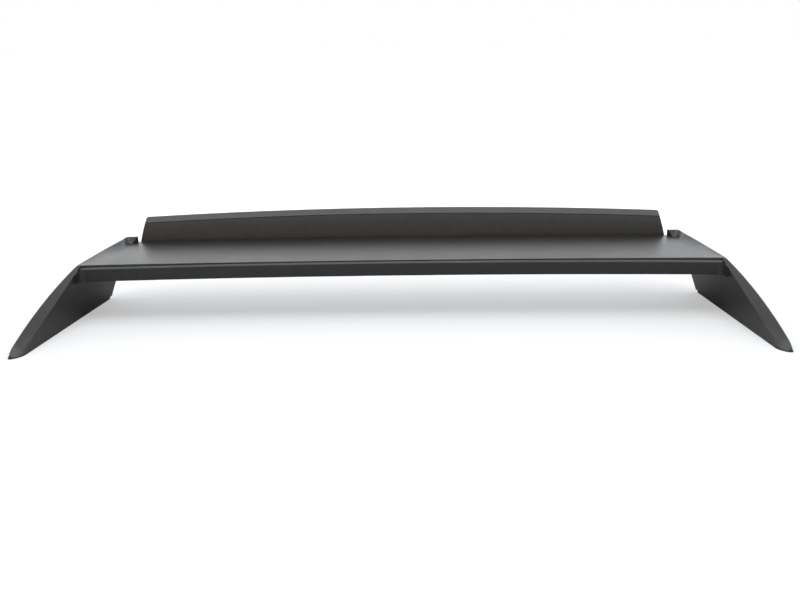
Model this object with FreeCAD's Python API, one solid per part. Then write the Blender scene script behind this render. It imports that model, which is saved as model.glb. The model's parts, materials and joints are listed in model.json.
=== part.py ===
import FreeCAD, Part
import math
import os

V = FreeCAD.Vector

# A boot spoiler: a wide wing moulded in one with its two legs, and a separate flap on its trailing edge.
# Sizes are in millimetres. X runs across the car, Y runs back from the toes, Z runs up from the boot lid.

# Legs
span = 1300.0               # across the two toes, before they are rounded
foot_length = 360.0         # from toe to heel along the boot lid
foot_splay = 20.0           # how much further in the heel's outer edge lies than the toe's
toe_height = 7.0            # top of the toe's front, before it is rounded
toe_width = 21.0            # foot at the toe, before it is rounded
heel_width = 42.0           # foot at the heel
toe_curve = 30.0            # length of the curve on the toe's inner side
toe_round = 6.0             # small round on the toe's outer side
toe_lean_deg = -1.5         # inner face's lean towards the middle as it rises: a little outward at the toe,
heel_lean_deg = 14.5        # and well inward at the heel
toe_top_round = 10.0        # where the toe's front turns into the leading edge
rim_flat = 3.2              # crest of the leading edge, outside its inner bevel
rim_drop_toe = 3.0          # how far the rim's inner crease lies below the crest: at the toe,
rim_drop_third = 8.5        # a third of the way up,
rim_drop_two_thirds = 9.0   # two thirds of the way up,
rim_drop_top = 1.5          # and where it meets the wing
heel_relief = 4.5           # height of the cut-back under the heel
heel_relief_length = 8.0

# Wing, measured in its middle section
wing_front = 221.0          # from the toes to the wing's front face
wing_chord = 174.0          # front face to rear face
wing_top = 108.5            # top of the leading edge above the boot lid
wing_rise = 3.5             # how much higher the top is at the rear
front_face = 26.5           # from the step down to the lower edge
rear_face = 20.0            # height of the rear face
nose_step = 4.8             # height of the step above the front face
nose_ledge = 4.0            # depth of the sloping ledge that the step leaves
nose_ledge_drop = 3.5       # how far the ledge slopes down to the front face
nose_top_round = 2.2
nose_ledge_round = 2.6
lower_edge_round = 1.5
wing_crown = 3.0            # how much lower the wing lies at its ends
wing_bow = 9.0              # how much further forward the wing lies at its ends

# Raised rim along the wing's ends, ending in an ear at each rear corner
corner_inset = 52.0         # crest at the wing's front corner, in from the toes' outer edge
crest_rear_inset = 99.0     # crest at the rear, in from the toes' outer edge
ear_height = 12.0           # crest above the wing's top at the rear
ear_length = 12.0           # foot of the ear's front slope ahead of the rear face
ear_slope = 9.0             # run of the ear's front slope
ear_width = 21.5            # from the crest in to the ear's end face
ear_end_slant = 8.5         # how much further out the ear's end face starts at the front
rim_foot_third = 20.0       # width of the rim's inner slope: a third of the way back,
rim_foot_two_thirds = 21.0  # two thirds of the way back,
rim_foot_rear = 11.5        # and at the ear
rim_corner_round = 10.0     # hollow round where the rim turns into the ear
side_bulge = 9.0            # outward swell of the outer side at the rear
toe_twist = 0.18            # share of the outer side's rear lean that the toe has
crest_round = 3.0
crest_bend = 45.0           # where the leading edge's crest bends into the rim's
web_round = 13.0            # hollow round between the wing's front face and the leg

# Flap
flap_gap = 5.0              # open gap between the flap's end and the ear
flap_end_slant = 12.0       # how much shorter each end is at the top
flap_corner_round = 5.0     # upper corners
flap_height = 43.0          # from the wing to the crease, in the middle
flap_end_drop = 8.5         # how much lower the crease lies at the ends
flap_lean = 14.5            # crease behind the flap's foot
flap_swell = 2.2            # forward swell of the front face
flap_band = 11.5            # height of the band above the crease
flap_band_lean = 9.0
flap_crease = 1.4           # width of the crease
flap_thickness = 6.0
flap_foot = 16.0            # height of the foot that is screwed to the wing's rear face

# Fixings
flap_screw_count = 6
flap_screw_inset = 93.0     # outermost screw, from the flap's end
screw_radius = 2.1
screw_hole_clearance = 0.6  # in the flap's foot
screw_length = 20.0
screw_hole_spare = 1.0      # blind hole in the wing, past the screw's tip
screw_head_radius = 4.4
screw_head_height = 2.8
screw_socket_across = 3.0
screw_socket_depth = 1.6
foot_bolt_radius = 2.5      # tapping radius of the boot lid's bolts
foot_insert_radius = 4.6
foot_insert_length = 14.0
foot_bolt_from_heel = (60.0, 190.0)        # bolts in each foot

# Values that follow from the sizes above
half_span = span / 2
wing_rear = wing_front + wing_chord
wing_end_front = wing_front + nose_ledge - wing_bow
wing_end_rear = wing_rear - wing_bow
wing_end_top = wing_top - wing_crown
wing_end_top_rear = wing_end_top + wing_rise
crest_rear = wing_end_top_rear + ear_height
toe_inner_half = half_span - toe_width
heel_outer_half = half_span - foot_splay
heel_inner_half = heel_outer_half - heel_width
corner_half = half_span - corner_inset
crest_rear_half = half_span - crest_rear_inset
ear_end_half = crest_rear_half - ear_width
rim_run_third = rim_foot_third / (ear_height / 3)
rim_run_two_thirds = rim_foot_two_thirds / (ear_height * 2 / 3)
rim_run_rear = rim_foot_rear / ear_height
flap_half = ear_end_half - flap_gap
rim_slope = (wing_end_top - toe_height) / wing_end_front
toe_lean = math.tan(math.radians(toe_lean_deg))
heel_lean = math.tan(math.radians(heel_lean_deg))
margin = 60.0               # how far a cutting shape reaches past what it cuts

# The wing is its middle section swept along one shallow arc, which leans forward and down at its ends.
arc_sag = math.hypot(wing_bow, wing_crown)
arc_radius = (corner_half ** 2 + arc_sag ** 2) / (2 * arc_sag)
arc_inward = V(0, -wing_bow, -wing_crown) / arc_sag
arc_centre = V(0, wing_rear, wing_top + wing_rise) + arc_inward * arc_radius
arc_axis = V(1, 0, 0).cross(arc_inward)


def arc_turn(x):
    """Turn along the wing's arc, in degrees, from the middle to x."""
    return math.degrees(math.asin(x / arc_radius))


def along_arc(x, y, z):
    """The point (y, z) of the middle section, carried along the wing's arc to x."""
    start = V(0, y, z)
    reach = (arc_centre - start).dot(arc_inward)
    return start + arc_inward * (reach - math.sqrt(reach ** 2 - x ** 2)) + V(x, 0, 0)


def crest_height(y):
    """Height of the leading edge's crest along the leg."""
    return toe_height + rim_slope * y


def outer_half(y, z):
    """Outer side of the leg: almost upright at the toe, leaning in towards the rear."""
    share = toe_twist + (1 - toe_twist) * y / wing_end_rear
    heel_share = y / foot_length
    base = half_span + (heel_outer_half - half_span) * heel_share
    base_rear = half_span + (heel_outer_half - half_span) * wing_end_rear / foot_length
    lean = (base_rear - crest_rear_half) / crest_rear
    swell = 4 * side_bulge * (z / crest_rear) * (1 - z / crest_rear)
    return base + share * (swell - lean * z)


def inner_half(y, z):
    """Inner side of the leg, leaning in more towards the heel."""
    share = y / foot_length
    base = toe_inner_half + (heel_inner_half - toe_inner_half) * share
    return base - (toe_lean + (heel_lean - toe_lean) * share) * z


def polygon(points):
    return Part.makePolygon(points + [points[0]])


def rounded(corners, place):
    """A closed outline through (u, v, radius) corners, rounded by each radius; place puts (u, v) in space."""
    points = [V(u, v, 0) for u, v, radius in corners]
    bends = []
    for i, corner in enumerate(points):
        radius = corners[i][2]
        back = (points[i - 1] - corner).normalize()
        ahead = (points[(i + 1) % len(points)] - corner).normalize()
        half_turn = back.getAngle(ahead) / 2
        reach = radius / math.tan(half_turn)
        inward = (back + ahead).normalize()
        middle = corner + inward * (radius / math.sin(half_turn) - radius)
        bends.append((corner + back * reach, middle, corner + ahead * reach))
    edges = []
    for i, (start, middle, end) in enumerate(bends):
        if corners[i][2] > 0:
            edges.append(Part.Arc(place(start), place(middle), place(end)).toShape())
        edges.append(Part.makeLine(place(end), place(bends[(i + 1) % len(bends)][0])))
    return Part.Wire(edges)


def across(corners):
    """A (y, z, radius) outline drawn right across the spoiler."""
    outline = rounded(corners, lambda p: V(-half_span - margin, p.x, p.y))
    return Part.Face(outline).extrude(V(2 * (half_span + margin), 0, 0))


def mirrored(shape):
    return shape.mirror(V(0, 0, 0), V(1, 0, 0))


def outer_body():
    """Everything that lies between the outer sides of the two legs."""
    low = -margin / 4
    high = crest_rear + margin / 3
    mid = (low + high) / 2
    wires = []
    for y in (-margin, wing_rear + 2 * margin):
        right = [V(outer_half(y, z), y, z) for z in (low, mid, high)]
        left = [V(-p.x, p.y, p.z) for p in right]
        wires.append(Part.Wire([
            Part.LineSegment(left[0], right[0]).toShape(),
            Part.Arc(right[0], right[1], right[2]).toShape(),
            Part.LineSegment(right[2], left[2]).toShape(),
            Part.Arc(left[2], left[1], left[0]).toShape(),
        ]))
    return Part.makeLoft(wires, True, True)


def inner_space():
    """The space between the legs."""
    low = -margin
    high = crest_rear + margin
    wires = []
    for y in (-margin, wing_end_rear + margin):
        right = [V(inner_half(y, z), y, z) for z in (low, high)]
        left = [V(-p.x, p.y, p.z) for p in right]
        wires.append(polygon([left[0], right[0], right[1], left[1]]))
    return Part.makeLoft(wires, True, True)


def rim_bevel():
    """Cuts the leading edge's broad inner bevel, from its crest down to its crease, on the right leg."""
    stations = (
        (0.0, rim_drop_toe),
        (wing_end_front / 3, rim_drop_third),
        (wing_end_front * 2 / 3, rim_drop_two_thirds),
        (wing_end_front, rim_drop_top),
    )
    wires = []
    for y, drop in stations:
        crest = crest_height(y)
        crease = crest - drop
        edge_x = outer_half(y, crest) - rim_flat
        crease_x = inner_half(y, crease)
        wires.append(polygon([
            V(edge_x, y, crest),
            V(crease_x, y, crease),
            V(crease_x - margin, y, crease),
            V(crease_x - margin, y, crest + margin),
            V(edge_x, y, crest + margin),
        ]))
    return Part.makeLoft(wires, True, False)


def toe_outline():
    """Plan of the right leg, round at its toe, as an upright block."""
    inner = V(inner_half(toe_curve, 0), toe_curve, -margin)
    tip = V(half_span - toe_round, 0, -margin)
    outer = V(outer_half(toe_round, 0), toe_round, -margin)
    bend = V(inner.x + (tip.x - inner.x) * 0.38, toe_curve * 0.3, -margin)
    corner = V(tip.x + toe_round * 0.7, toe_round * 0.28, -margin)
    far = wing_end_rear + margin
    outline = Part.Wire([
        Part.Arc(inner, bend, tip).toShape(),
        Part.Arc(tip, corner, outer).toShape(),
        Part.makePolygon([
            outer,
            V(half_span + margin, outer.y, -margin),
            V(half_span + margin, far, -margin),
            V(0, far, -margin),
            V(0, inner.y, -margin),
            inner,
        ]),
    ])
    return Part.Face(outline).extrude(V(0, 0, crest_rear + 2 * margin))


def shell():
    """The spoiler's outer form: its toes, leading edges, rims and sides, with a round crest."""
    far = wing_rear + margin
    rise = (crest_rear - wing_end_top) / (wing_end_rear - wing_end_front)
    solid = across([
        (0, -margin / 6, 0),
        (0, toe_height, toe_top_round),
        (wing_end_front, wing_end_top, crest_bend),
        (far, wing_end_top + rise * (far - wing_end_front), 0),
        (far, -margin / 6, 0),
    ]).common(outer_body())
    crest = []
    for edge in solid.Edges:
        middle = edge.valueAt((edge.FirstParameter + edge.LastParameter) / 2)
        at_side = abs(middle.x) > ear_end_half - margin and middle.y < far - 1
        if at_side and middle.z > max(toe_height * 0.9, middle.y * rim_slope * 0.6):
            crest.append(edge)
    return solid.makeFillet(crest_round, crest)


def leg():
    """The right leg, up to its join with the wing and with its outer side still rough."""
    under_wing = wing_end_front + nose_ledge
    join = wing_end_top - nose_step
    side = across([
        (-margin, 0, 0),
        (-margin, crest_rear + margin, 0),
        (under_wing, crest_rear + margin, 0),
        (under_wing, join, 0),
        (wing_end_rear, join, 0),
        (wing_end_rear, wing_end_top_rear - rear_face, 0),
        (foot_length, heel_relief, 0),
        (foot_length - heel_relief_length, heel_relief, 0),
        (foot_length - heel_relief_length, 0, 0),
    ])
    return side.cut(inner_space()).common(toe_outline()).cut(rim_bevel())


def corner_web():
    """The hollow round that carries the wing's front face forward into the right leg's inner face."""
    ledge = wing_end_top - nose_step
    low = ledge - front_face
    side = inner_half(wing_end_front, (ledge + low) / 2)
    face = along_arc(side - web_round, wing_front, wing_top - nose_step).y
    into = nose_ledge
    outline = Part.Wire([
        Part.Arc(V(side - web_round, face, low),
                 V(side - web_round * (1 - math.sqrt(0.5)), face - web_round * (1 - math.sqrt(0.5)), low),
                 V(side, face - web_round, low)).toShape(),
        Part.makePolygon([V(side, face - web_round, low), V(side + heel_width / 2, face - web_round, low),
                          V(side + heel_width / 2, face + into, low), V(side - web_round, face + into, low),
                          V(side - web_round, face, low)]),
    ])
    return Part.Face(outline).extrude(V(0, 0, ledge - nose_ledge_drop - low)).cut(rim_bevel())


def wing_section():
    """The wing's outline in the middle: stepped nose, front face, underside, rear face and top."""
    ledge = wing_top - nose_step
    edge = wing_front + nose_ledge
    rear_top = wing_top + wing_rise
    return rounded([
        (edge, ledge, 0),
        (edge, wing_top, nose_top_round),
        (wing_rear, rear_top, 0),
        (wing_rear, rear_top - rear_face, 0),
        (wing_front, ledge - front_face, lower_edge_round),
        (wing_front, ledge - nose_ledge_drop, nose_ledge_round),
    ], lambda p: V(0, p.x, p.y))


def wing():
    """The wing, reaching a little past the outer sides."""
    turn = arc_turn(half_span)
    start = Part.Face(wing_section())
    start.rotate(arc_centre, arc_axis, -turn)
    return start.revolve(arc_centre, arc_axis, 2 * turn)


def rim_crest(y):
    """Half width and height of the rim's crest at y on the wing's end."""
    share = (y - wing_end_front) / (wing_end_rear - wing_end_front)
    half = corner_half + (crest_rear_half - corner_half) * share
    return half, wing_end_top + (crest_rear - wing_end_top) * share


def dish_side(points):
    """The rim's inner slope in plan, as one smooth line."""
    line = Part.BSplineCurve()
    line.interpolate(Points=points, Parameters=[i / (len(points) - 1) for i in range(len(points))])
    return line.toShape()


def dish_outline(z):
    """Plan of the hollow between the rims at height z, round at each ear and open in front."""
    rear = wing_end_rear - ear_length + ear_slope * (z - wing_end_top_rear) / ear_height
    length = wing_end_rear - wing_end_front
    stations = (
        (wing_end_front - margin, rim_run_third),
        (wing_end_front, rim_run_third),
        (wing_end_front + length / 3, rim_run_third),
        (wing_end_front + length * 2 / 3, rim_run_two_thirds),
        (rear - rim_corner_round, rim_run_rear),
    )
    right = []
    for y, run in stations:
        half, height = rim_crest(y)
        right.append(V(half + run * (z - height), y, z))
    left = [V(-p.x, p.y, p.z) for p in reversed(right)]
    start = right[-1]
    centre = V(start.x - rim_corner_round, start.y, z)
    reach = rim_corner_round * math.sqrt(0.5)
    middle = centre + V(reach, reach, 0)
    end = centre + V(0, rim_corner_round, 0)

    def flip(p):
        return V(-p.x, p.y, p.z)

    return Part.Wire([
        dish_side(right),
        Part.Arc(start, middle, end).toShape(),
        Part.makeLine(end, flip(end)),
        Part.Arc(flip(end), flip(middle), flip(start)).toShape(),
        dish_side(left),
        Part.makeLine(left[-1], right[0]),
    ])


def rim_and_ears():
    """The raised rim along each end of the wing, with the ear that it turns into, still rough outside."""
    root = wing_end_top - nose_step
    above_wing = across([
        (wing_end_front, root, 0),
        (wing_end_front, crest_rear + margin, 0),
        (wing_end_rear, crest_rear + margin, 0),
        (wing_end_rear, root, 0),
    ])
    dish = Part.makeLoft([dish_outline(root - 1), dish_outline(crest_rear + margin / 4)], True, True)
    front = wing_end_front - margin
    slant_start = wing_end_rear - ear_length
    wide = ear_end_half + ear_end_slant
    far = wing_end_rear + margin
    gap = polygon([
        V(-wide, front, root - 1),
        V(wide, front, root - 1),
        V(wide, slant_start, root - 1),
        V(ear_end_half, wing_end_rear, root - 1),
        V(ear_end_half, far, root - 1),
        V(-ear_end_half, far, root - 1),
        V(-ear_end_half, wing_end_rear, root - 1),
        V(-wide, slant_start, root - 1),
    ])
    between_ears = Part.Face(gap).extrude(V(0, 0, crest_rear + 2 * margin))
    return above_wing.cut(dish).cut(between_ears)


def flap_section(x):
    """The flap's outline at x: foot, swelling front face, crease, band, blunt top and rear face."""
    root = along_arc(x, wing_rear, wing_top + wing_rise)
    height = flap_height - flap_end_drop * (x / flap_half) ** 2
    lean = flap_lean * height / flap_height
    t = flap_thickness

    def at(y, z):
        return root + V(0, y, z)

    crease = [at(lean, height), at(lean + flap_crease, height + flap_crease / 2),
              at(lean + flap_crease / 2, height + flap_crease)]
    top_y = lean + flap_band_lean
    top_z = height + flap_band
    top = [at(top_y, top_z), at(top_y + t * 0.4, top_z), at(top_y + t * 0.7, top_z - t * 0.25),
           at(top_y + t * 0.75, top_z - t * 0.6)]
    shoulder = at(lean + t * 1.15, height - t / 2)
    return Part.Wire([
        Part.makePolygon([at(t, 0), at(t, -flap_foot), at(0, -flap_foot), at(0, 0)]),
        Part.Arc(at(0, 0), at(lean / 2 - flap_swell, height / 2), at(lean, height)).toShape(),
        Part.makePolygon(crease + top + [shoulder]),
        Part.Arc(shoulder, at(lean / 2 - flap_swell + t, height / 2 - t / 4), at(t, 0)).toShape(),
    ])


def flap_corner_waste(slant):
    """What is taken off the flap's upper right corner to make it round."""
    root_z = wing_top + wing_rise

    def top(x):
        drop = flap_end_drop * (x / flap_half) ** 2
        return along_arc(x, wing_rear, root_z).z + flap_height - drop + flap_band

    tip = flap_half - slant * (top(flap_half) - root_z)
    corner = V(tip, wing_end_front, top(tip))
    down = V(slant, 0, -1).normalize()
    inward = V(-1, 0, top(tip - 1) - top(tip)).normalize()
    half_turn = down.getAngle(inward) / 2
    reach = flap_corner_round / math.tan(half_turn)
    depth = flap_corner_round / math.sin(half_turn) - flap_corner_round
    middle = corner + (down + inward).normalize() * depth
    start = corner + down * reach
    end = corner + inward * reach
    outline = Part.Wire([
        Part.Arc(start, middle, end).toShape(),
        Part.makePolygon([
            end,
            end + V(0, 0, margin),
            corner + V(margin, 0, margin),
            start + V(margin, 0, 0),
            start,
        ]),
    ])
    return Part.Face(outline).extrude(V(0, wing_chord + 2 * margin, 0))


def flap_blank():
    """The flap before its screw holes, with its ends cut on a slant and its upper corners round."""
    reach = flap_half + margin
    blade = Part.makeLoft([flap_section(x) for x in (-reach, 0.0, reach)], True, False)
    root_z = wing_top + wing_rise
    tall = flap_height + flap_band
    slant = flap_end_slant / tall
    low = flap_half + slant * margin
    high = flap_half - slant * (tall + margin)
    bottom = root_z - margin
    top = root_z + tall + margin
    ends = polygon([
        V(-low, wing_end_front, bottom),
        V(low, wing_end_front, bottom),
        V(high, wing_end_front, top),
        V(-high, wing_end_front, top),
    ])
    blank = blade.common(Part.Face(ends).extrude(V(0, wing_chord + 2 * margin, 0)))
    waste = flap_corner_waste(slant)
    return blank.cut(waste).cut(mirrored(waste))


def on_flap_foot(shape):
    """Copies of a shape at every screw, turned with the wing's arc."""
    reach = flap_half - flap_screw_inset
    copies = []
    for i in range(flap_screw_count):
        copy = shape.copy()
        copy.rotate(arc_centre, arc_axis, arc_turn(reach * (2 * i / (flap_screw_count - 1) - 1)))
        copies.append(copy)
    return copies


def foot_bolt_places():
    """Middle of each bolt hole on the underside of the feet."""
    places = []
    for back in foot_bolt_from_heel:
        y = foot_length - back
        x = (inner_half(y, 0) + outer_half(y, 0)) / 2
        places += [V(-x, y, 0), V(x, y, 0)]
    return places


BACK = V(0, 1, 0)
FORWARD = V(0, -1, 0)
UP = V(0, 0, 1)
screw_seat = V(0, wing_rear + flap_thickness, wing_top + wing_rise - flap_foot / 2)


def flap_screw():
    """The screw in the middle section, its socket head on the rear of the flap's foot."""
    shank = Part.makeCylinder(screw_radius, screw_length, screw_seat, FORWARD)
    head = Part.makeCylinder(screw_head_radius, screw_head_height, screw_seat, BACK)
    corner = screw_socket_across / math.sqrt(3)
    mouth = screw_seat + BACK * screw_head_height
    turns = [math.radians(60 * i) for i in range(6)]
    hexagon = polygon([mouth + V(corner * math.cos(a), 0, corner * math.sin(a)) for a in turns])
    socket = Part.Face(hexagon).extrude(FORWARD * screw_socket_depth)
    return head.fuse(shank).cut(socket).removeSplitter()


def foot_insert(place):
    """A threaded insert, flush with the underside of the foot."""
    sleeve = Part.makeCylinder(foot_insert_radius, foot_insert_length, place, UP)
    return sleeve.cut(Part.makeCylinder(foot_bolt_radius, foot_insert_length, place, UP))


def wing_body():
    right = leg().fuse(corner_web())
    body = wing().fuse(rim_and_ears()).fuse(right).fuse(mirrored(right)).common(shell())
    screw_hole = Part.makeCylinder(screw_radius, screw_length + screw_hole_spare, screw_seat, FORWARD)
    for hole in on_flap_foot(screw_hole):
        body = body.cut(hole)
    for place in foot_bolt_places():
        body = body.cut(Part.makeCylinder(foot_insert_radius, foot_insert_length, place, UP))
    return body


def flap():
    body = flap_blank()
    hole = Part.makeCylinder(screw_radius + screw_hole_clearance, screw_length, screw_seat + BACK, FORWARD)
    for cut in on_flap_foot(hole):
        body = body.cut(cut)
    return body


def build():
    """Each piece by its node's name, with fasteners of one kind as a group."""
    return {
        "wing_body": wing_body(),
        "flap": flap(),
        "flap_screws": Part.makeCompound(on_flap_foot(flap_screw())),
        "foot_inserts": Part.makeCompound([foot_insert(place) for place in foot_bolt_places()]),
    }


def main():
    """Puts the origin on the boot lid, in the middle of the spoiler's plan, and writes each piece."""
    pieces = build()
    box = Part.makeCompound(list(pieces.values())).optimalBoundingBox()
    middle = V(0, -(box.YMin + box.YMax) / 2, 0)
    os.makedirs("parts", exist_ok=True)
    for name, shape in pieces.items():
        shape.translate(middle)
        shape.exportStep("parts/" + name + ".step")
        print(name, len(shape.Solids), round(shape.Volume), shape.isValid())
    print("moved", middle)


main()
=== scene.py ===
import json
import math

import bmesh
import bpy
from mathutils import Matrix, Vector
from mathutils.geometry import intersect_point_line

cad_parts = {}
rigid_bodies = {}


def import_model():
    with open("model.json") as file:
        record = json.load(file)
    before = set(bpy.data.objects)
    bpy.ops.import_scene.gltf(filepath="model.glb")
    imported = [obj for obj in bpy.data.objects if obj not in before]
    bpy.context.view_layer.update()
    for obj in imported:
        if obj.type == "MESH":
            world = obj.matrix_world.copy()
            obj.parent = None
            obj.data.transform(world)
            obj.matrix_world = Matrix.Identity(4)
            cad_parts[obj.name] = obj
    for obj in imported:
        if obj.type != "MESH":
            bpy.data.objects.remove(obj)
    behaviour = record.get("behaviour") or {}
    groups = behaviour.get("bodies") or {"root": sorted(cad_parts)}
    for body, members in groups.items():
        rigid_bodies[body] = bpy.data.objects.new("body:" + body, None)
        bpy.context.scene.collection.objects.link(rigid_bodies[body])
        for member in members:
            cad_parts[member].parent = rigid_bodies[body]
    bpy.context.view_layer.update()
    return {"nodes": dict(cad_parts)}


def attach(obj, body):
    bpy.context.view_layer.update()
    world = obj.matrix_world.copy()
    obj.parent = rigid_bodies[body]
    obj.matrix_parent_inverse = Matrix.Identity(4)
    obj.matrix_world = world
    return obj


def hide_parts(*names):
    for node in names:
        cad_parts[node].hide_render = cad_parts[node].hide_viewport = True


bl_info = {
    "name": "Boot Spoiler",
    "version": (1, 0, 0),
    "blender": (4, 5, 0),
    "location": "View3D > Sidebar > Boot Spoiler",
    "description": "Dresses a moulded boot spoiler and its screwed-on flap, and sets its studio",
    "category": "Object",
}

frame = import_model()

# Copies of the CAD nodes, in metres
MERGE_DISTANCE = 0.00001
FLAT_ANGLE = math.radians(0.05)  # facets flatter than this to each other are joined
ROUND_ANGLE = math.radians(28)  # edges sharper than this are rounded
ROUND_SEGMENTS = 2
SMOOTH_ANGLE = math.radians(32)  # edges sharper than this stay sharp in the shading
FACE_WEIGHT = 100  # the highest weight, so that flat faces are shaded flat

# The toes' roll, in metres and in shares of its reach
FLOOR_LEVEL = 0.0002  # points up to this height lie on the floor
SMOOTHED_ABOVE = 0.0003  # points above this height are smoothed
UNDERSIDE = -0.9  # faces whose normals have a lower z look down
SIDEWAYS = 0.3  # least part of a normal that makes a face look forward or inward
EDGE_REACH = 1.5  # how far back from the tips floor edges are looked for
ROLL_END = 0.8  # where the roll has died out
ROLL_DROP = 0.72  # part of its height that a point drops at the full roll
TOE_CUTS = 3
SMOOTHED_PARTS = (0.75, 0.6, 0.45)  # smoothed one after the other, most at the tips

# Finishes
NOISE_BAND = (0.3, 0.7)  # where most values of a noise lie
SKIN_ROUGHNESS = (0.38, 0.43)
SKIN_IOR = 1.5
FLOW_DEPTH = 0.0004  # relief of the flow marks
RUBBED_BAND = (0.45, 0.75)  # values of the noise at which the black oxide is rubbed
RUBBED_GAIN = 2.2
OXIDE_ROUGHNESS = (0.42, 0.28)
TARNISH_BAND = (0.4, 0.7)  # values of the noise at which the brass is tarnished
TARNISH_GAIN = 0.7
BRASS_ROUGHNESS = (0.25, 0.4)
TOOL_DEPTH = 0.00003  # relief of the tool marks on screws and inserts

# Studio, in metres unless said otherwise
PAPER_SHADE = 0.985  # darkest part of the floor paper against its colour
FLOOR_FADE = (0.75, 1.6)  # distances from the middle between which the floor turns white
BACKDROP_FADE = (0.1, 0.5)  # y of a direction, from the dim room to the backdrop
CEILING_FADE = (0.6, 0.9)  # z of a direction, from the backdrop to the dark ceiling
CEILING_LEVEL = 0.1
SOFTBOX_PLACE = (0.0, 0.0, 2.3)
SOFTBOX_SIZE = (3.0, 2.4)
STRIP_PLACE = (0.0, -0.3, 1.9)
STRIP_SIZE = (3.4, 0.35)
PICTURE_WIDTH = 36.0  # millimetres

# Sockets of the Mix node, which has a set for each kind of value
MIX_SHARE = 0
MIX_NUMBERS = (2, 3)
MIX_NUMBER_OUT = 0
MIX_COLOURS = (6, 7)
MIX_COLOUR_OUT = 2


class SpoilerFinish(bpy.types.PropertyGroup):
    """Edges and finishes of the spoiler"""

    edge_round: bpy.props.FloatProperty(
        name="Moulded edge",
        description="Width of the small round on every sharp moulded edge",
        default=0.0009,
        min=0.0,
        subtype="DISTANCE",
        unit="LENGTH",
    )
    screw_edge: bpy.props.FloatProperty(
        name="Turned edge",
        description="Width of the broken edge on screws and inserts",
        default=0.00025,
        min=0.0,
        subtype="DISTANCE",
        unit="LENGTH",
    )
    toe_round: bpy.props.FloatProperty(
        name="Toe round",
        description="Width of the slope that rolls the toes' upper edges down to the floor",
        default=0.013,
        min=0.0001,
        subtype="DISTANCE",
        unit="LENGTH",
    )
    toe_reach: bpy.props.FloatProperty(
        name="Toe reach",
        description="How far back from the tips the toes are rolled and smoothed",
        default=0.09,
        min=0.0001,
        subtype="DISTANCE",
        unit="LENGTH",
    )
    grain_size: bpy.props.FloatProperty(
        name="Grain size",
        description="Distance between the grains of the moulded skin",
        default=0.0011,
        min=0.0001,
        subtype="DISTANCE",
        unit="LENGTH",
    )
    grain_depth: bpy.props.FloatProperty(
        name="Grain depth",
        description="Depth of the moulded skin's grain",
        default=0.00006,
        min=0.0,
        subtype="DISTANCE",
        unit="LENGTH",
    )
    wing_dark: bpy.props.FloatVectorProperty(
        name="Wing, dark",
        description="Darker tone of the wing's charcoal skin",
        default=(0.0135, 0.0125, 0.0112),
        size=3,
        min=0.0,
        max=1.0,
        subtype="COLOR",
    )
    wing_light: bpy.props.FloatVectorProperty(
        name="Wing, light",
        description="Lighter tone of the wing's charcoal skin",
        default=(0.0185, 0.0172, 0.0156),
        size=3,
        min=0.0,
        max=1.0,
        subtype="COLOR",
    )
    # The flap's two tones keep its own warm hue. They are painted lighter than the wing's skin of
    # the same charcoal, as painted light for the camera-facing front that the lamps leave too
    # dim.
    flap_dark_painted_lighter: bpy.props.FloatVectorProperty(
        name="Flap, dark",
        description="Darker tone of the flap's charcoal skin",
        default=(0.031, 0.0255, 0.0205),
        size=3,
        min=0.0,
        max=1.0,
        subtype="COLOR",
    )
    flap_light_painted_lighter: bpy.props.FloatVectorProperty(
        name="Flap, light",
        description="Lighter tone of the flap's charcoal skin",
        default=(0.039, 0.0325, 0.0265),
        size=3,
        min=0.0,
        max=1.0,
        subtype="COLOR",
    )
    screw_colour: bpy.props.FloatVectorProperty(
        name="Screws",
        description="Black oxide on the steel screws",
        default=(0.05, 0.05, 0.054),
        size=3,
        min=0.0,
        max=1.0,
        subtype="COLOR",
    )
    insert_colour: bpy.props.FloatVectorProperty(
        name="Inserts",
        description="Turned brass of the threaded inserts",
        default=(0.72, 0.52, 0.25),
        size=3,
        min=0.0,
        max=1.0,
        subtype="COLOR",
    )


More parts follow.
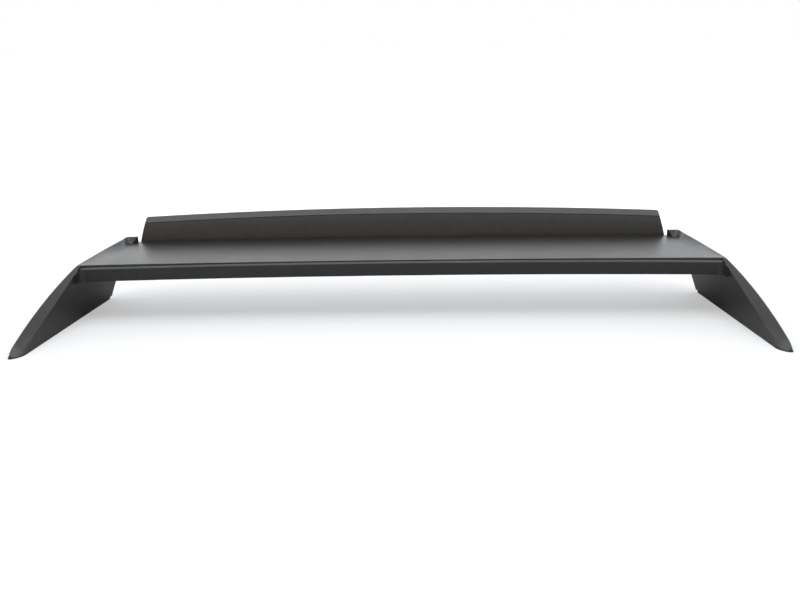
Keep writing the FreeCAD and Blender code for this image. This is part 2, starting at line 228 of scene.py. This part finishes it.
class SpoilerStudio(bpy.types.PropertyGroup):
    """Camera, floor and light"""

    camera_place: bpy.props.FloatVectorProperty(
        name="Camera",
        description="Where the camera stands, in front of the toes",
        default=(0.0573, -1.6835, 0.5359),
        size=3,
        subtype="TRANSLATION",
        unit="LENGTH",
    )
    camera_yaw: bpy.props.FloatProperty(
        name="Camera yaw",
        description="Turn of the camera to its right",
        default=math.radians(-1.865),
        subtype="ANGLE",
        unit="ROTATION",
    )
    camera_pitch: bpy.props.FloatProperty(
        name="Camera pitch",
        description="How far the camera looks down",
        default=math.radians(16.614),
        subtype="ANGLE",
        unit="ROTATION",
    )
    camera_roll: bpy.props.FloatProperty(
        name="Camera roll",
        description="Tilt of the camera about its line of sight",
        default=math.radians(-1.162),
        subtype="ANGLE",
        unit="ROTATION",
    )
    lens: bpy.props.FloatProperty(
        name="Lens",
        description="Focal length, in millimetres, for a picture 36 mm wide",
        default=42.73,
        min=1.0,
        subtype="DISTANCE_CAMERA",
    )
    floor_size: bpy.props.FloatProperty(
        name="Floor",
        description="Side of the pale studio floor",
        default=30.0,
        min=1.0,
        subtype="DISTANCE",
        unit="LENGTH",
    )
    floor_colour: bpy.props.FloatVectorProperty(
        name="Floor colour",
        description="Pale matt floor",
        default=(0.5, 0.5, 0.5),
        size=3,
        min=0.0,
        max=1.0,
        subtype="COLOR",
    )
    floor_lift: bpy.props.FloatProperty(
        name="Floor lift",
        description="White that the camera sees on top of the floor's own light near the spoiler",
        default=0.39,
        min=0.0,
        max=1.0,
    )
    softbox_power: bpy.props.FloatProperty(
        name="Softbox",
        description="Power of the wide soft lamp overhead",
        default=55.0,
        min=0.0,
        unit="POWER",
    )
    light_tint: bpy.props.FloatVectorProperty(
        name="Light colour",
        description="The cool daylight white of the lamps and the backdrop",
        default=(0.94, 0.965, 1.0),
        size=3,
        min=0.0,
        max=1.0,
        subtype="COLOR",
    )
    strip_power: bpy.props.FloatProperty(
        name="Strip",
        description="Power of the narrow lamp that draws the highlights",
        default=34.0,
        min=0.0,
        unit="POWER",
    )
    room_back: bpy.props.FloatProperty(
        name="Room, behind",
        description="Brightness of the white backdrop behind and above the spoiler",
        default=2.3,
        min=0.0,
    )
    room_front: bpy.props.FloatProperty(
        name="Room, in front",
        description="Brightness of the dimmer room on the camera's side",
        default=0.6,
        min=0.0,
    )


def finish():
    """The values of the edges and finishes."""
    return bpy.context.scene.spoiler_finish


def studio():
    """The values of the studio."""
    return bpy.context.scene.spoiler_studio


def deselect_all():
    """Leaves edit mode and deselects every object."""
    if bpy.context.mode != "OBJECT":
        bpy.ops.object.mode_set(mode="OBJECT")
    bpy.ops.object.select_all(action="DESELECT")


def select_only(piece):
    """Makes the piece the only selected object and the active one."""
    deselect_all()
    piece.select_set(True)
    bpy.context.view_layer.objects.active = piece


def copy_of_node(node, name):
    """A merged copy of a CAD node's mesh, with its flat facets joined, as a new piece."""
    select_only(frame["nodes"][node])
    bpy.ops.object.duplicate(linked=False)
    piece = bpy.context.active_object
    piece.name = name
    piece.data.name = name
    for key in list(piece.keys()):
        if key.startswith("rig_"):
            del piece[key]
    bpy.ops.object.parent_clear(type="CLEAR_KEEP_TRANSFORM")
    bpy.ops.object.mode_set(mode="EDIT")
    bpy.ops.mesh.select_all(action="SELECT")
    bpy.ops.mesh.customdata_custom_splitnormals_clear()
    bpy.ops.mesh.remove_doubles(threshold=MERGE_DISTANCE)
    bpy.ops.mesh.dissolve_limited(angle_limit=FLAT_ANGLE)
    bpy.ops.mesh.select_all(action="DESELECT")
    bpy.ops.object.mode_set(mode="OBJECT")
    return piece


def foot_edges(mesh, limit):
    """The toes' floor edges that face forward or towards the other toe, as pairs of points."""
    edges = []
    for edge in mesh.edges:
        if any(vertex.co.z > FLOOR_LEVEL or vertex.co.y > limit for vertex in edge.verts):
            continue
        for face in edge.link_faces:
            normal = face.normal
            inward = -normal.x if edge.verts[0].co.x > 0 else normal.x
            if normal.z > UNDERSIDE and (inward > SIDEWAYS or normal.y < -SIDEWAYS):
                edges.append(tuple(vertex.co.xy for vertex in edge.verts))
    return edges


def roll_of(point, edges, width):
    """How far a point is rolled over: 1 on a floor edge, fading to 0 at the width from it."""
    distance = width
    for first, last in edges:
        share = intersect_point_line(point.xy, first, last)[1]
        nearest = first.lerp(last, min(max(share, 0.0), 1.0))
        distance = min(distance, (point.xy - nearest).length)
    return 1.0 - math.sin(math.pi / 2 * distance / width)


def soften_toes(piece, width, reach):
    """Rolls the toes' upper edges down to the floor, fully at the tips and less behind them."""
    select_only(piece)
    bpy.ops.object.mode_set(mode="EDIT")
    bpy.ops.mesh.select_mode(type="VERT")
    mesh = bmesh.from_edit_mesh(piece.data)
    tip = min(vertex.co.y for vertex in mesh.verts)
    edges = foot_edges(mesh, tip + EDGE_REACH * reach)
    for face in mesh.faces:
        in_reach = any(vertex.co.y < tip + reach for vertex in face.verts)
        face.select_set(in_reach and face.normal.z > UNDERSIDE)
    bmesh.update_edit_mesh(piece.data)
    bpy.ops.mesh.quads_convert_to_tris()
    bpy.ops.mesh.subdivide(number_cuts=TOE_CUTS)
    mesh = bmesh.from_edit_mesh(piece.data)
    for vertex in mesh.verts:
        behind = (vertex.co.y - tip) / reach
        if behind < ROLL_END:
            share = 0.5 + 0.5 * math.cos(math.pi * behind / ROLL_END)
            vertex.co.z *= 1.0 - ROLL_DROP * share * roll_of(vertex.co, edges, width)
    bmesh.update_edit_mesh(piece.data)
    for part in SMOOTHED_PARTS:
        bpy.ops.mesh.select_all(action="DESELECT")
        mesh = bmesh.from_edit_mesh(piece.data)
        for vertex in mesh.verts:
            vertex.select_set(vertex.co.y < tip + part * reach and vertex.co.z > SMOOTHED_ABOVE)
        mesh.select_flush_mode()
        bmesh.update_edit_mesh(piece.data)
        bpy.ops.mesh.vertices_smooth(factor=0.5, repeat=2)
    bpy.ops.mesh.select_all(action="DESELECT")
    bpy.ops.object.mode_set(mode="OBJECT")


def round_edges(piece, width):
    """Rounds the piece's sharp edges and shades the rest smooth."""
    select_only(piece)
    bevel = piece.modifiers.new("edges", "BEVEL")
    bevel.width = width
    bevel.segments = ROUND_SEGMENTS
    bevel.limit_method = "ANGLE"
    bevel.angle_limit = ROUND_ANGLE
    bpy.ops.object.modifier_apply(modifier=bevel.name)
    bpy.ops.object.shade_smooth_by_angle(angle=SMOOTH_ANGLE)
    weighted = piece.modifiers.new("flat_faces", "WEIGHTED_NORMAL")
    weighted.keep_sharp = True
    weighted.weight = FACE_WEIGHT
    bpy.ops.object.modifier_apply(modifier=weighted.name)


def hand_over(piece, node, material):
    """Gives the piece its material and lets it stand for its CAD node."""
    piece.data.materials.clear()
    piece.data.materials.append(material)
    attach(piece, "root")
    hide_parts(node)


class Nodes:
    """The nodes of one procedural material, or of the world."""

    def __init__(self, owner):
        owner.use_nodes = True
        self.owner = owner
        self.tree = owner.node_tree

    def named(self, name):
        """A node that every new tree has."""
        return self.tree.nodes[name]

    def add(self, kind, **values):
        node = self.tree.nodes.new(kind)
        for key, value in values.items():
            setattr(node, key, value)
        return node

    def link(self, source, target):
        self.tree.links.new(source, target)

    def place(self):
        """Object coordinates, in metres."""
        return self.add("ShaderNodeTexCoord").outputs["Object"]

    def noise(self, place, scale, detail=2.0, roughness=0.5):
        node = self.add("ShaderNodeTexNoise")
        node.inputs["Scale"].default_value = scale
        node.inputs["Detail"].default_value = detail
        node.inputs["Roughness"].default_value = roughness
        self.link(place, node.inputs["Vector"])
        return node.outputs["Fac"]

    def ramp(self, value, span, result, interpolation="LINEAR"):
        """The value, brought from the span to the result's first and last value."""
        node = self.add("ShaderNodeMapRange", interpolation_type=interpolation)
        node.inputs["From Min"].default_value = span[0]
        node.inputs["From Max"].default_value = span[1]
        node.inputs["To Min"].default_value = result[0]
        node.inputs["To Max"].default_value = result[1]
        self.link(value, node.inputs["Value"])
        return node.outputs["Result"]

    def combine(self, operation, first, second):
        """One number out of two."""
        node = self.add("ShaderNodeMath", operation=operation)
        self.link(first, node.inputs[0])
        self.link(second, node.inputs[1])
        return node.outputs["Value"]

    def mix(self, share, first, second):
        """A colour between two colours."""
        node = self.add("ShaderNodeMix", data_type="RGBA")
        self.link(share, node.inputs[MIX_SHARE])
        for socket, colour in zip(MIX_COLOURS, (first, second)):
            node.inputs[socket].default_value = (*colour, 1.0)
        return node.outputs[MIX_COLOUR_OUT]

    def bump(self, height, distance, strength, below=None):
        """A normal with relief, on top of the relief below it."""
        node = self.add("ShaderNodeBump")
        node.inputs["Distance"].default_value = distance
        node.inputs["Strength"].default_value = strength
        self.link(height, node.inputs["Height"])
        if below is not None:
            self.link(below, node.inputs["Normal"])
        return node.outputs["Normal"]


def moulded_skin(name, dark, light):
    """Charcoal polyurethane skin: satin, finely grained, with faint flow marks from the mould."""
    nodes = Nodes(bpy.data.materials.new(name))
    shader = nodes.named("Principled BSDF")
    place = nodes.place()
    grain = nodes.noise(place, scale=1.0 / finish().grain_size, detail=3.0, roughness=0.6)
    flow = nodes.noise(place, scale=14.0, detail=3.0, roughness=0.55)
    cloud = nodes.noise(place, scale=60.0, detail=4.0, roughness=0.6)
    tone = nodes.mix(nodes.ramp(cloud, NOISE_BAND, (0.0, 1.0)), dark, light)
    nodes.link(tone, shader.inputs["Base Color"])
    nodes.link(nodes.ramp(flow, NOISE_BAND, SKIN_ROUGHNESS), shader.inputs["Roughness"])
    waves = nodes.bump(flow, distance=FLOW_DEPTH, strength=0.1)
    relief = nodes.bump(grain, distance=finish().grain_depth, strength=0.3, below=waves)
    nodes.link(relief, shader.inputs["Normal"])
    shader.inputs["IOR"].default_value = SKIN_IOR
    return nodes.owner


def black_oxide():
    """Blackened steel with fine tool marks and rubbed patches."""
    nodes = Nodes(bpy.data.materials.new("black_oxide_steel"))
    shader = nodes.named("Principled BSDF")
    place = nodes.place()
    patches = nodes.noise(place, scale=420.0, detail=4.0, roughness=0.6)
    colour = tuple(finish().screw_colour)
    rubbed = tuple(channel * RUBBED_GAIN for channel in colour)
    tone = nodes.mix(nodes.ramp(patches, RUBBED_BAND, (0.0, 1.0)), colour, rubbed)
    nodes.link(tone, shader.inputs["Base Color"])
    nodes.link(nodes.ramp(patches, NOISE_BAND, OXIDE_ROUGHNESS), shader.inputs["Roughness"])
    marks = nodes.noise(place, scale=2600.0)
    nodes.link(nodes.bump(marks, distance=TOOL_DEPTH, strength=0.5), shader.inputs["Normal"])
    shader.inputs["Metallic"].default_value = 1.0
    return nodes.owner


def turned_brass():
    """Brass with the rings that turning leaves."""
    nodes = Nodes(bpy.data.materials.new("turned_brass"))
    shader = nodes.named("Principled BSDF")
    place = nodes.place()
    tarnish = nodes.noise(place, scale=300.0, detail=4.0, roughness=0.6)
    colour = tuple(finish().insert_colour)
    dull = tuple(channel * TARNISH_GAIN for channel in colour)
    tone = nodes.mix(nodes.ramp(tarnish, TARNISH_BAND, (0.0, 1.0)), colour, dull)
    nodes.link(tone, shader.inputs["Base Color"])
    nodes.link(nodes.ramp(tarnish, NOISE_BAND, BRASS_ROUGHNESS), shader.inputs["Roughness"])
    rings = nodes.add("ShaderNodeTexWave", wave_type="BANDS", bands_direction="Z")
    rings.inputs["Scale"].default_value = 900.0
    nodes.link(place, rings.inputs["Vector"])
    relief = nodes.bump(rings.outputs["Fac"], distance=TOOL_DEPTH, strength=0.4)
    nodes.link(relief, shader.inputs["Normal"])
    shader.inputs["Metallic"].default_value = 1.0
    return nodes.owner


class SPOILER_OT_wing_body(bpy.types.Operator):
    """The wing, legs, rims and ears, moulded in one"""

    bl_idname = "spoiler.wing_body"
    bl_label = "Wing body"

    def execute(self, context):
        piece = copy_of_node("wing_body", "wing_moulding")
        soften_toes(piece, finish().toe_round, finish().toe_reach)
        round_edges(piece, finish().edge_round)
        skin = moulded_skin("wing_skin", tuple(finish().wing_dark), tuple(finish().wing_light))
        hand_over(piece, "wing_body", skin)
        return {"FINISHED"}


class SPOILER_OT_flap(bpy.types.Operator):
    """The upright flap on the trailing edge, with its crease and blunt top"""

    bl_idname = "spoiler.flap"
    bl_label = "Flap"

    def execute(self, context):
        piece = copy_of_node("flap", "flap_moulding")
        round_edges(piece, finish().edge_round)
        # The flap's skin is the wing's charcoal painted lighter: painted light on its front, with
        # its own warm hue.
        skin = moulded_skin("flap_skin_painted_lighter", tuple(finish().flap_dark_painted_lighter), tuple(finish().flap_light_painted_lighter))
        hand_over(piece, "flap", skin)
        return {"FINISHED"}


class SPOILER_OT_fixings(bpy.types.Operator):
    """The flap's screws and the threaded inserts in the feet"""

    bl_idname = "spoiler.fixings"
    bl_label = "Fixings"

    def execute(self, context):
        screws = copy_of_node("flap_screws", "socket_screws")
        round_edges(screws, finish().screw_edge)
        hand_over(screws, "flap_screws", black_oxide())
        inserts = copy_of_node("foot_inserts", "brass_inserts")
        round_edges(inserts, finish().screw_edge)
        hand_over(inserts, "foot_inserts", turned_brass())
        return {"FINISHED"}


class SPOILER_OT_stage(bpy.types.Operator):
    """The pale floor, white backdrop, soft light and camera"""

    bl_idname = "spoiler.stage"
    bl_label = "Studio"

    def execute(self, context):
        self.lay_floor()
        self.light_room(context.scene)
        self.hang_lamps()
        self.set_camera(context.scene)
        context.scene.view_settings.view_transform = "Standard"
        return {"FINISHED"}

    def lay_floor(self):
        """A wide matt floor of pale paper."""
        deselect_all()
        bpy.ops.mesh.primitive_plane_add(size=studio().floor_size)
        floor = bpy.context.active_object
        floor.name = "studio_floor"
        nodes = Nodes(bpy.data.materials.new("pale_floor"))
        shader = nodes.named("Principled BSDF")
        colour = tuple(studio().floor_colour)
        shade = tuple(channel * PAPER_SHADE for channel in colour)
        paper = nodes.noise(nodes.place(), scale=3.0, detail=3.0)
        nodes.link(nodes.mix(paper, colour, shade), shader.inputs["Base Color"])
        shader.inputs["Roughness"].default_value = 0.9
        shader.inputs["Specular IOR Level"].default_value = 0.1
        self.whiten_floor(nodes)
        floor.data.materials.append(nodes.owner)

    def whiten_floor(self, nodes):
        """Lifts the floor for the eye: to white away from the spoiler, less in its shadow."""
        distance = nodes.add("ShaderNodeVectorMath", operation="LENGTH")
        nodes.link(nodes.place(), distance.inputs[0])
        near = studio().floor_lift
        far = nodes.ramp(distance.outputs["Value"], FLOOR_FADE, (0.0, 1.0 - near))
        path = nodes.add("ShaderNodeLightPath")
        camera_ray = path.outputs["Is Camera Ray"]
        seen = camera_ray
        for ray in ("Is Glossy Ray", "Is Transmission Ray"):
            seen = nodes.combine("MAXIMUM", seen, path.outputs[ray])
        strength = nodes.add("ShaderNodeMath", operation="MULTIPLY_ADD")
        nodes.link(camera_ray, strength.inputs[0])
        strength.inputs[1].default_value = near
        nodes.link(nodes.combine("MULTIPLY", far, seen), strength.inputs[2])
        white = nodes.add("ShaderNodeEmission")
        nodes.link(strength.outputs["Value"], white.inputs["Strength"])
        both = nodes.add("ShaderNodeAddShader")
        nodes.link(nodes.named("Principled BSDF").outputs["BSDF"], both.inputs[0])
        nodes.link(white.outputs["Emission"], both.inputs[1])
        nodes.link(both.outputs["Shader"], nodes.named("Material Output").inputs["Surface"])

    def light_room(self, scene):
        """A white backdrop behind the spoiler in a dim room, plain white to the camera."""
        nodes = Nodes(bpy.data.worlds.new("studio_room"))
        scene.world = nodes.owner
        background = nodes.named("Background")
        split = nodes.add("ShaderNodeSeparateXYZ")
        direction = nodes.add("ShaderNodeTexCoord").outputs["Generated"]
        nodes.link(direction, split.inputs["Vector"])
        levels = (studio().room_front, studio().room_back)
        behind = nodes.ramp(split.outputs["Y"], BACKDROP_FADE, levels, "SMOOTHSTEP")
        ceiling = nodes.ramp(split.outputs["Z"], CEILING_FADE, (1.0, CEILING_LEVEL), "SMOOTHSTEP")
        camera_ray = nodes.add("ShaderNodeLightPath").outputs["Is Camera Ray"]
        strength = nodes.add("ShaderNodeMix", data_type="FLOAT")
        nodes.link(camera_ray, strength.inputs[MIX_SHARE])
        nodes.link(nodes.combine("MULTIPLY", behind, ceiling), strength.inputs[MIX_NUMBERS[0]])
        strength.inputs[MIX_NUMBERS[1]].default_value = 1.0
        nodes.link(strength.outputs[MIX_NUMBER_OUT], background.inputs["Strength"])
        tint = nodes.mix(camera_ray, studio().light_tint, (1.0, 1.0, 1.0))
        nodes.link(tint, background.inputs["Color"])

    def hang_lamp(self, name, place, size, power):
        """A flat lamp that looks at the middle of the floor."""
        deselect_all()
        turn = (-Vector(place)).to_track_quat("-Z", "Y").to_euler()
        bpy.ops.object.light_add(type="AREA", location=place, rotation=turn)
        lamp = bpy.context.active_object
        lamp.name = name
        lamp.data.shape = "RECTANGLE"
        lamp.data.size, lamp.data.size_y = size
        lamp.data.energy = power
        lamp.data.color = studio().light_tint
        return lamp

    def hang_lamps(self):
        """A wide lamp overhead for the level, and a narrow one that only draws the highlights."""
        softbox = self.hang_lamp("softbox", SOFTBOX_PLACE, SOFTBOX_SIZE, studio().softbox_power)
        softbox.visible_glossy = False
        strip = self.hang_lamp("strip", STRIP_PLACE, STRIP_SIZE, studio().strip_power)
        strip.visible_diffuse = False

    def set_camera(self, scene):
        """The camera at the photo's place, turned, tilted and rolled."""
        deselect_all()
        bpy.ops.object.camera_add()
        camera = bpy.context.active_object
        camera.name = "studio_camera"
        camera.data.sensor_width = PICTURE_WIDTH
        camera.data.lens = studio().lens
        place = Matrix.Translation(Vector(studio().camera_place))
        turn = Matrix.Rotation(-studio().camera_yaw, 4, "Z")
        tilt = Matrix.Rotation(math.pi / 2 - studio().camera_pitch, 4, "X")
        roll = Matrix.Rotation(studio().camera_roll, 4, "Z")
        camera.matrix_world = place @ turn @ tilt @ roll
        scene.camera = camera


OPERATORS = (
    SPOILER_OT_wing_body,
    SPOILER_OT_flap,
    SPOILER_OT_fixings,
    SPOILER_OT_stage,
)


class SPOILER_PT_panel(bpy.types.Panel):
    """Lists the spoiler's pieces, finishes and studio"""

    bl_idname = "SPOILER_PT_panel"
    bl_label = "Boot Spoiler"
    bl_space_type = "VIEW_3D"
    bl_region_type = "UI"
    bl_category = "Boot Spoiler"

    def draw(self, context):
        layout = self.layout
        for operator in OPERATORS:
            layout.operator(operator.bl_idname)
        for group in (context.scene.spoiler_finish, context.scene.spoiler_studio):
            box = layout.box()
            for name in group.__annotations__:
                box.prop(group, name)


CLASSES = (SpoilerFinish, SpoilerStudio, *OPERATORS, SPOILER_PT_panel)


def register():
    for cls in CLASSES:
        bpy.utils.register_class(cls)
    bpy.types.Scene.spoiler_finish = bpy.props.PointerProperty(type=SpoilerFinish)
    bpy.types.Scene.spoiler_studio = bpy.props.PointerProperty(type=SpoilerStudio)


def unregister():
    del bpy.types.Scene.spoiler_studio
    del bpy.types.Scene.spoiler_finish
    for cls in reversed(CLASSES):
        bpy.utils.unregister_class(cls)


def main():
    register()
    bpy.ops.spoiler.wing_body()
    bpy.ops.spoiler.flap()
    bpy.ops.spoiler.fixings()
    bpy.ops.spoiler.stage()


if __name__ == "__main__":
    main()
